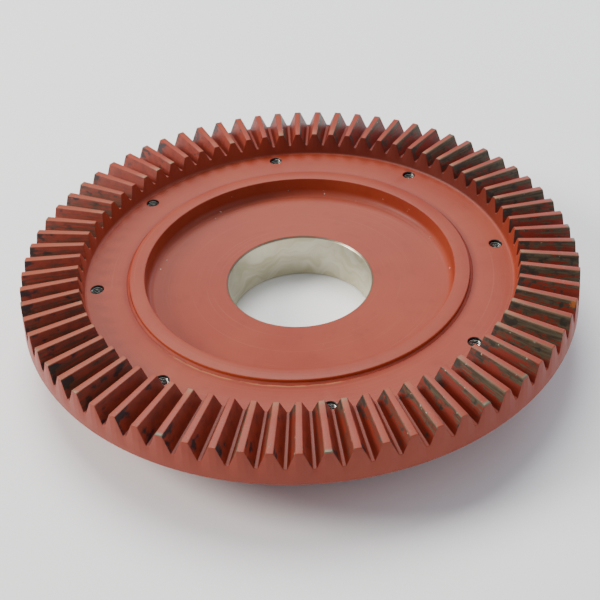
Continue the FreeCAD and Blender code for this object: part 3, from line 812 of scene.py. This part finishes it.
# %% Marks on the flat annulus, the rust and the unpainted steel
def annulus_marks(place, colour):
    """Painted shade darkening the annulus along the split between the rings, and paint flaked off along one
    stretch of it.
    """
    level = place.normal_z.step(0.8, 0.95) * (place.z > (ANNULUS_HEIGHT - 0.6) * MM)
    level = level * (place.z < (ANNULUS_HEIGHT + 0.2) * MM)
    # Painted shade: darker red on the annulus along the foot of the step at the split between the rings.
    split_shade = (1 - (place.radius - RING_BORE * MM).step(0.6 * MM, 5.5 * MM)) * level
    colour = (split_shade * 0.75).blend(colour, SPLIT_SHADE_RED)
    front_left = (-(place.x * 0.42 + place.y) / place.radius).step(0.86, 1.0)
    along = place.radius * (1 / MM)
    flakes = place.noise(1.0, 4, place.vector(along * 0.7, place.angle * 14, 0.0))
    off_line = (place.radius - (RING_BORE + 0.9) * MM).math("ABSOLUTE")
    edge = (1 - off_line.step(0.3 * MM, 1.3 * MM)) * level
    flaked = (flakes + front_left * 0.14 + edge * 0.04).step(0.56, 0.70) * edge * front_left
    return (flaked * 0.8).blend(colour, FLAKED_TAN)


RUST_RADIUS, RUST_ANGLE, RUST_HEIGHT = 214.6, -28.4, 67.5


def rust_spot(place):
    """A ragged spot of rust at the outer end of one tooth."""
    ragged = (place.noise(650, 3) - 0.5) * 1.4
    rust = (near(place, RUST_RADIUS, RUST_ANGLE, RUST_HEIGHT, 5) + ragged).step(0.40, 0.62)
    return rust * near(place, RUST_RADIUS, RUST_ANGLE, RUST_HEIGHT, 6).step(0.0, 0.3)


def unpainted_steel(place):
    """The tapped holes, the seats of the nipples and the faces round the balls, which paint never reached."""
    hole = from_hole_axis(place) < (TABLE_HOLE_RADIUS + 0.35) * MM
    hole = hole * (place.z > (TABLE_HOLE_BOTTOM - 1) * MM)
    seat = (place.radius < (NIPPLE_SEAT + 0.1) * MM) * (place.radius > 150 * MM)
    seat = seat * (place.z < (BALL_HEIGHT + 8) * MM) * (place.z > (BALL_HEIGHT - 8) * MM)
    inside = (place.radius < (RING_BORE + 0.25) * MM) * (place.z < (ANNULUS_HEIGHT - 0.2) * MM)
    return (hole + seat + inside).math("MINIMUM", 1)


# %% The worn coat of the geared ring
def gear_finish():
    """Worn primer: thin on the flanks, chipped on the lands, and gone where the pinion has run."""
    material, place, shader = new_material("red_primer_gear")
    colour, roughness, height = primer_coat(place)
    tooth, off_centre, profile = tooth_place(place)
    plus_flank, minus_flank = flank_masks(place)

    # What the wear is mixed from: noises stretched along the tooth, two random numbers for each tooth, and
    # where on the tooth and on which side of the ring a point lies.
    along = place.radius * (1 / MM)
    streaks = place.noise(1.0, 4, place.vector(along * 0.05, profile * 9, tooth * 3.7))
    blotches = place.noise(1.0, 4, place.vector(along * 0.16, profile * 2.4, tooth * 5.3))
    worn = place.chance(tooth, 3.1)
    second = place.chance(tooth, 17.7)
    toe_end = 1 - (place.radius - (TOE_RADIUS + 1) * MM).step(0, 14 * MM)
    heel_end = (place.radius - 200 * MM).step(0, 16 * MM)
    left_side = (-place.x / place.radius).step(0.62, 0.86)
    front = (-place.y / place.radius).step(0.94, 0.99)
    land = (place.radius > (WALL_RADIUS + 0.6) * MM) * (profile > 0.95)

    # Thin paint on both flanks: blood red on the working one, maroon on the idle one.
    red_flank = streaks.step(0.35, 0.7).blend(BLOOD_RED, BLOOD_RED_DEEP)
    maroon = blotches.step(0.4, 0.7).blend(MAROON, MAROON_DEEP)
    flank = plus_flank + minus_flank
    colour = (flank * 0.92).blend(colour, plus_flank.blend(red_flank, maroon))

    # The working flank: bare oily steel above a ragged border, with soot, a rubbed line and small glints.
    border = profile * 0.95 + (streaks - 0.5) * 1.9 + (blotches - 0.5) * 1.1 + worn * 0.42 - 0.20
    olive = streaks.step(0.38, 0.62).blend(OILY_STEEL_DARK, OILY_STEEL)
    minus_bare = minus_flank * border.step(0.44, 0.70) * (1 - front * (1 - toe_end) * 0.75) * 0.92
    colour = minus_bare.blend(colour, olive)
    soot = minus_flank * (blotches + toe_end * 0.16 + profile * 0.05).step(0.60, 0.72)
    colour = (soot * 0.85).blend(colour, SOOT)
    rubbed = (streaks * 0.8 + blotches + worn * 0.3).step(0.92, 1.22)
    rub_line = minus_flank * profile.step(0.86, 0.97) * rubbed
    colour = (rub_line * 0.34).blend(colour, RUBBED_STEEL)
    glints = minus_flank * profile.step(0.84, 0.9) * (place.noise(340, 3) + rub_line * 0.04).step(0.67, 0.71)
    colour = (glints * 0.8).blend(colour, GLINT)

    # The idle flank: blue black patches, and mossy ones at the left.
    ink = place.noise(1.0, 3, place.vector(along * 0.10, profile * 2.2, tooth * 9.1))
    plus_bare = plus_flank * (ink + profile * 0.12 + heel_end * 0.17 + second * 0.05 - 0.10).step(0.60, 0.74)
    colour = (plus_bare * 0.9).blend(colour, INK_BLACK)
    moss = plus_flank * left_side * (streaks + (1 - profile) * 0.25 + second * 0.1).step(0.58, 0.78)
    colour = (moss * 0.7).blend(colour, MOSS)

    # The lands: chips, bare ends, browner paint at the toe, and painted light that makes the lands at the
    # left browner.
    chips = (place.noise(900, 2) + heel_end * 0.05).step(0.70, 0.74) * land
    bare_end = (place.radius - 213 * MM).step(0, 3 * MM) * (second + streaks * 0.5).step(0.98, 1.04) * land
    toe_tip = 1 - (place.radius - (TOE_RADIUS + 1) * MM).step(0, 3.5 * MM)
    bare_tip = toe_tip * (worn + streaks * 0.5).step(0.86, 0.96) * land * 0.7
    chips = chips.math("MAXIMUM", bare_end).math("MAXIMUM", bare_tip)
    colour = chips.blend(colour, CHIPPED_STEEL)
    colour = (land * toe_end * (worn + streaks).step(0.7, 1.3) * 0.4).blend(colour, LAND_TAN)
    # Painted light: the lands on the left side of the ring are painted browner and less pink, as they look in
    # the light there.
    colour = (land * left_side * 0.6).blend(colour, LAND_BROWN_PAINTED_LIGHT)
    # Browner along one edge of the lands on the right side of the ring.
    right_land_edge = land * off_centre.step(-0.01, 0.09) * (place.x / place.radius).step(0.3, 0.7)
    right_land_edge = right_land_edge * (streaks * 0.7 + worn * 0.3).step(0.3, 0.6)
    colour = (right_land_edge * 0.7).blend(colour, EDGE_BROWN)

    # Painted shade: deeper red on the gap floors and along one stretch of the toe wall, at the back right,
    # where little light gets in. Paler red low on the rim.
    gap_floor = (1 - profile.step(0.0, 0.12)) * place.normal_z.step(0.6, 0.8)
    gap_floor = gap_floor * (place.radius > (TOE_RADIUS + 1) * MM) * (1 - plus_flank) * (1 - minus_flank)
    colour = (gap_floor * 0.5).blend(colour, GAP_SHADE_RED)
    back_right = ((place.x + place.y) * 0.7071 / place.radius).step(0.55, 0.95)
    toe_wall = (place.radius < (TOE_RADIUS + 0.5) * MM) * (place.z > (ANNULUS_HEIGHT + 0.6) * MM)
    colour = (toe_wall * back_right * 0.85).blend(colour, WALL_SHADE_RED)
    low_edge = (1 - (place.z - (RIM_HEIGHT + 0.6) * MM).step(0, 1.6 * MM)) * (place.radius > 214.5 * MM)
    colour = (low_edge * 0.6).blend(colour, LOW_EDGE_RED)

    # What lies over all of that, and how shiny the bare steel is.
    colour = annulus_marks(place, colour)
    rust = rust_spot(place)
    colour = (rust * 0.85).blend(colour, RUST)
    steel = unpainted_steel(place)
    # Bare steel, painted dark: the tapped holes carry painted shade.
    colour = steel.blend(colour, UNPAINTED_STEEL_AND_HOLE_SHADE)
    bare = minus_bare * 0.5 + plus_bare * 0.4 + chips * 0.6 + steel * 0.7
    bare = (bare * (1 - rust)).math("MINIMUM", 1)
    plug_in(
        shader,
        Base_Color=colour,
        Roughness=roughness - bare * 0.10,
        Metallic=bare * 0.6,
        Normal=bump(place, height + streaks * flank * 1.6 - minus_bare * 0.8, 0.06 * MM, 0.8),
    )
    return material


# %% Make the geared ring
gear_holes = [(table_hole, TABLE_HOLES), (nipple_hole, len(nipple_names))]
geared_ring = ring_of_sectors("geared_ring_painted", gear_sector, TEETH, gear_holes, gear_finish())
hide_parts("geared_ring")
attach(geared_ring, "gear")


# %% [markdown]
# ## The hub ring
# The hub ring wears the same primer, but its bore is left bare for the seat: grey steel with the fine,
# slightly crossed marks of the boring tool. Paint ends at the bore's chamfer, which is bare too and painted
# dark as painted shade. The outer wall of the band is painted a brighter orange as painted light. A few
# nicks lie along the foot of the recess.

# %% Paint and make the hub ring
def hub_finish():
    """Primer outside and bare, bored steel inside."""
    material, place, shader = new_material("red_primer_hub")
    colour, roughness, height = primer_coat(place)
    # Painted light: the band's outer wall lies in shade and is painted a brighter orange, standing for bounce
    # light off the red paint.
    painted_light_wall = (place.radius > (HUB_RADIUS - 0.2) * MM) * (place.z > 45 * MM)
    colour = (painted_light_wall * 0.9).blend(colour, srgb(168, 66, 30))
    foot = 1 - ((place.radius - (RECESS_RADIUS - 5) * MM).math("ABSOLUTE")).step(3 * MM, 9 * MM)
    nicks = (place.noise(230, 2) + foot * 0.05).step(0.765, 0.79) * foot
    nick_colour = place.noise(900, 1).step(0.45, 0.55).blend(srgb(52, 46, 40), srgb(190, 184, 170))
    colour = (nicks * 0.9).blend(colour, nick_colour)

    tool = place.noise(1.0, 3, place.vector(place.z * 2600, place.angle * 2.2, 0.0))
    swirl = place.noise(1.0, 2, place.vector(place.angle * 1.8, place.z * 24, 3.0)) * 7
    smear = place.noise(1.0, 3, place.vector(place.z * 110 + swirl, place.angle * 1.2, 0.0))
    past_chamfer = (place.radius - (BORE_RADIUS + 1.35) * MM).step(-0.15 * MM, 0.15 * MM)
    seat = (1 - past_chamfer) * (place.z < (FLOOR_HEIGHT - 0.25) * MM)
    joint = (place.z < 37 * MM) * (place.radius > 99.9 * MM) + (place.z < 0.4 * MM)
    steel = (seat + joint).math("MINIMUM", 1)
    bore = smear.step(0.3, 0.75).blend(srgb(206, 201, 180), srgb(184, 176, 146))
    # Painted shade: the bore's chamfer is painted dark.
    chamfer_shade = (place.radius > (BORE_RADIUS + 0.2) * MM) * (place.z > (FLOOR_HEIGHT - 1.2) * MM)
    colour = steel.blend(colour, (chamfer_shade * 0.75).blend(bore, srgb(74, 66, 54)))
    plug_in(
        shader,
        Base_Color=colour,
        Roughness=steel * (0.26 + smear * 0.12) + (1 - steel) * roughness,
        Metallic=steel * 0.65,
        Normal=bump(place, height * (1 - steel) + tool * steel * 0.5, 0.06 * MM, 0.8),
    )
    return material


hub_holes = [(screw_thread, SCREWS), (hub_dowel, DOWELS)]
hub_ring = ring_of_sectors("hub_ring_painted", hub_strip, STRIPS, hub_holes, hub_finish())
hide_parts("hub_ring")
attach(hub_ring, "hub")


# %% [markdown]
# ## The lower race ring
# It closes the ball row from below and is never painted: plain turned steel with a film of oil.

# %% Make the lower race ring
def turned_finish(name, light, dark, marks, roughness=0.32):
    """Bare turned steel; marks says how many tool marks there are to a metre."""
    material, place, shader = new_material(name)
    rings = place.noise(1.0, 3, place.vector(place.radius * marks, place.z * marks * 0.4, place.angle * 1.5))
    stain = place.noise(45, 4)
    plug_in(
        shader,
        Base_Color=(rings * 0.5 + stain * 0.5).step(0.35, 0.65).blend(light, dark),
        Roughness=roughness + stain * 0.14,
        Metallic=0.9,
        Normal=bump(place, rings, 0.02 * MM),
    )
    return material


turned_steel = turned_finish("turned_steel", srgb(150, 148, 142), srgb(112, 110, 104), 2400)
race_holes = [(screw_hole, SCREWS), (race_dowel, DOWELS)]
race_ring = ring_of_sectors("lower_race_ring_turned", race_strip, STRIPS, race_holes, turned_steel)
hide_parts("lower_race_ring")
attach(race_ring, "hub")

for cutter in cutters:
    bpy.data.objects.remove(cutter)


# %% [markdown]
# ## Threads in the table holes
# The eight holes in the annulus are tapped, and the bright crests of the thread are what the eye finds in
# them. A thread is a helix, so one is modelled as a ribbon that winds down the hole, with a section like a
# triangle whose tip is cut off, and Geometry Nodes set it into all eight.

# %% Wind one thread and repeat it
THREAD_PITCH = 1.5
THREAD_TOP = 51.6
THREAD_TURNS = 12
THREAD_STEPS = 30
THREAD_SECTION = ((4.97, -0.66), (4.30, -0.10), (4.30, 0.10), (4.97, 0.66))


def thread(maker):
    """A ribbon that winds down one hole, closed at both ends."""
    sections = []
    for step in range(THREAD_TURNS * THREAD_STEPS + 1):
        turn = 2 * math.pi * step / THREAD_STEPS
        middle = THREAD_TOP - THREAD_PITCH * step / THREAD_STEPS
        sections.append([maker.verts.new(spot(r, middle + z, -turn)) for r, z in THREAD_SECTION])
    for above, below in zip(sections, sections[1:]):
        for side in range(len(THREAD_SECTION)):
            after = (side + 1) % len(THREAD_SECTION)
            maker.faces.new((above[side], above[after], below[after], below[side]))
    maker.faces.new(sections[0][::-1])
    maker.faces.new(sections[-1])
    bmesh.ops.recalc_face_normals(maker, faces=maker.faces)
    bmesh.ops.transform(maker, matrix=upright(TABLE_HOLE_CIRCLE), verts=maker.verts)


def repeated(name, maker, count, material):
    """A piece made once and repeated round the axis by Geometry Nodes."""
    tree, given = new_tree(name, [
        ("Part", "NodeSocketGeometry"), ("Count", "NodeSocketInt"), ("Finish", "NodeSocketMaterial"),
    ])
    finish_tree(tree, repeat(tree, given["Part"], given["Count"]), given["Finish"])
    return baked(mesh_object(name, maker), tree, {"Count": count, "Finish": material})


def thread_finish():
    """Painted shade, nearly black, in the roots and a painted highlight, near white, on the crests, by
    distance from the hole's axis.
    """
    material, place, shader = new_material("tapped_steel")
    crest = 1 - from_hole_axis(place).step(4.36 * MM, 4.50 * MM)
    grain = place.noise(1500, 2)
    plug_in(
        shader,
        # Painted shade in the roots and a painted highlight on the crests.
        Base_Color=crest.blend(srgb(24, 26, 30), srgb(232, 232, 220)),
        Roughness=0.24 + grain * 0.1,
        Metallic=0.6 + crest * 0.3,
        Normal=bump(place, grain, 0.02 * MM),
    )
    return material


threads = repeated("table_hole_threads", thread, TABLE_HOLES, thread_finish())
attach(threads, "gear")


# %% [markdown]
# ## Socket head screws
# Twelve screws hold the lower race ring, and their knurled heads are seen from below. The knurl is a ring of
# straight ridges, drawn by letting the head's radius rise and fall round its edge.

# %% Model one screw and repeat it
RIDGES = 36
RIDGE_DEPTH = 0.25
HEAD_LOW, HEAD_HIGH = 1.0, 9.0
SHANK_TOP = 34.0
KEY_CORNER = 6.0 / math.sqrt(3)


def screw(maker):
    """One screw, head down, with a knurled edge and a hexagon socket for the key."""
    steps = 2 * RIDGES
    levels = (
        (4.0, SHANK_TOP, False), (4.0, HEAD_HIGH, False), (6.2, HEAD_HIGH, False),
        (6.5, HEAD_HIGH - 0.3, True), (6.5, HEAD_LOW + 0.7, True),
        (6.0, HEAD_LOW, False), (3.9, HEAD_LOW, False),
    )
    rings = []
    for radius, z, knurled in levels:
        ring = []
        for step in range(steps):
            r = radius - RIDGE_DEPTH * (step % 2) if knurled else radius
            ring.append(maker.verts.new(spot(r, z, 2 * math.pi * step / steps)))
        rings.append(ring)
    for upper, lower in zip(rings, rings[1:]):
        for step in range(steps):
            after = (step + 1) % steps
            maker.faces.new((upper[step], lower[step], lower[after], upper[after]))
    maker.faces.new(rings[0])
    mouth, bottom = [], []
    for corners, z in ((mouth, HEAD_LOW + 0.3), (bottom, HEAD_LOW + 4.0)):
        for side in range(6):
            corners.append(maker.verts.new(spot(KEY_CORNER, z, math.pi * side / 3)))
    share = steps // 6
    rim = rings[-1]
    for side in range(6):
        after = (side + 1) % 6
        arc = [rim[(side * share + step) % steps] for step in range(share + 1)]
        maker.faces.new([*arc, mouth[after], mouth[side]][::-1])
        maker.faces.new((mouth[side], bottom[side], bottom[after], mouth[after]))
    maker.faces.new(bottom)
    bmesh.ops.recalc_face_normals(maker, faces=maker.faces)
    bmesh.ops.transform(maker, matrix=upright(SCREW_CIRCLE), verts=maker.verts)


black_oxide = turned_finish("black_oxide_steel", srgb(58, 58, 60), srgb(40, 40, 42), 700, 0.4)
screws = repeated("race_ring_screws_knurled", screw, SCREWS, black_oxide)
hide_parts("race_ring_screws")
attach(screws, "hub")


# %% [markdown]
# ## Finishes for the pieces that keep their measured shape
# Balls, spacers, shim, dowels, seals and grease nipples are already the right shape, so each only gets a
# finish. The balls are ground and lapped, the spacers are moulded nylon, and the upper seal has been
# painted over with the rings.

# %% Rubber, nylon and plated steel
def soft_finish(name, light, dark, roughness, metallic=0.0, scale=160):
    """A moulded or plated skin: fine grain and clouds between two close colours."""
    material, place, shader = new_material(name)
    clouds = place.noise(scale, 4)
    grain = place.noise(2200, 2)
    plug_in(
        shader,
        Base_Color=clouds.step(0.35, 0.7).blend(light, dark),
        Roughness=roughness + grain * 0.15 + clouds * 0.1,
        Metallic=metallic,
        Normal=bump(place, grain + clouds * 0.5, 0.03 * MM),
    )
    return material


def painted_rubber_finish():
    """The primer's skin on the upper seal, deeper in colour than on steel as painted shade along the split.
    """
    material, place, shader = new_material("painted_rubber")
    _, roughness, height = primer_coat(place)
    # Painted shade: the seal's primer is a deeper red, for the shaded line at the split between the rings.
    colour = place.noise(60, 3).step(0.3, 0.7).blend(srgb(136, 39, 7), srgb(118, 31, 5))
    plug_in(shader, Base_Color=colour, Roughness=roughness + 0.1, Normal=bump(place, height, 0.05 * MM))
    return material


# %% Give every measured piece its finish
def dress(material, *names):
    """Give measured pieces a finish through their material slots."""
    for name in names:
        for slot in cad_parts[name].material_slots:
            slot.material = material
    print(material.name, "on", len(names), "measured piece" + "s" * (len(names) > 1))


ball_names = [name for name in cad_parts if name.startswith("ball_") and name != "ball_spacers"]
dress(turned_finish("ball_steel", srgb(206, 206, 204), srgb(190, 190, 190), 300, 0.08), *ball_names)
dress(soft_finish("spacer_nylon", srgb(214, 206, 178), srgb(198, 188, 156), 0.42), "ball_spacers")
dress(turned_finish("shim_steel", srgb(186, 184, 176), srgb(160, 158, 150), 600, 0.25), "shim_ring")
ground_steel = turned_finish("ground_steel", srgb(192, 192, 190), srgb(168, 168, 166), 3000, 0.18)
dress(ground_steel, "dowel_pin_1", "dowel_pin_2")
dress(painted_rubber_finish(), "upper_seal")
dress(soft_finish("seal_rubber", srgb(34, 33, 32), srgb(48, 46, 44), 0.5), "lower_seal")
zinc = soft_finish("zinc_steel", srgb(196, 190, 160), srgb(170, 166, 150), 0.28, 0.9, 90)
dress(zinc, *nipple_names)


# %% [markdown]
# ## Floor and studio light
# The bearing lies on a pale floor under two broad soft lights, one high behind it and one at its left, which
# make satin paint look pinkish on its level faces and deep red on its walls. A weak light at the right fills
# the shadows, and a small bluish one, low behind the right side like a window, puts cold edges on fillets.

# %% Lay the floor
FLOOR_REACH = 6.0
FLOOR_GAP = 0.0002


def floor(maker):
    """A square, just below the bearing so that the two never share a plane."""
    level = cad_box[0].z - FLOOR_GAP
    corners = ((-1, -1), (1, -1), (1, 1), (-1, 1))
    maker.faces.new([maker.verts.new((x * FLOOR_REACH, y * FLOOR_REACH, level)) for x, y in corners])


ground = mesh_object("floor", floor)
ground_finish, ground_place, ground_shader = new_material("studio_floor")
plug_in(
    ground_shader,
    Base_Color=ground_place.noise(3, 2).blend(srgb(246, 246, 246), srgb(240, 240, 241)),
    Roughness=0.55,
)
ground.data.materials.append(ground_finish)
print("floor", round(2 * FLOOR_REACH), "m wide")


# %% Hang the lights
LIGHTS_AIM = Vector((0, 0, 0.03))


def soft_light(name, place, size, power, colour):
    """A round area light at a place in metres, turned towards the middle of the bearing."""
    light = bpy.data.lights.new(name, "AREA")
    light.shape = "DISK"
    light.size = size
    light.energy = power
    light.color = colour
    lamp = bpy.data.objects.new(name, light)
    bpy.context.scene.collection.objects.link(lamp)
    lamp.location = place
    lamp.rotation_euler = (LIGHTS_AIM - Vector(place)).to_track_quat("-Z", "Y").to_euler()
    print(name, "gives", power, "W")


soft_light("back_light", (-0.2, 1.5, 3.0), 2.2, 118, (1.0, 0.99, 0.97))
soft_light("left_light", (-2.6, 0.3, 1.8), 1.3, 104, (1.0, 0.96, 0.88))
soft_light("right_light", (1.9, -0.6, 0.9), 1.2, 5, (0.92, 0.95, 1.0))
soft_light("window_light", (1.5, 2.0, 0.85), 0.7, 12, (0.72, 0.82, 1.0))

world = bpy.data.worlds.new("studio")
world.use_nodes = True
sky = world.node_tree.nodes["Background"]
sky.inputs["Color"].default_value = srgb(230, 236, 246)
sky.inputs["Strength"].default_value = 0.55
bpy.context.scene.world = world


# %% [markdown]
# ## The measured size
# The box of the measured model is printed at the end.

# %% Print the measured box
print("measured box", [round(v, 4) for v in cad_box[1] - cad_box[0]])
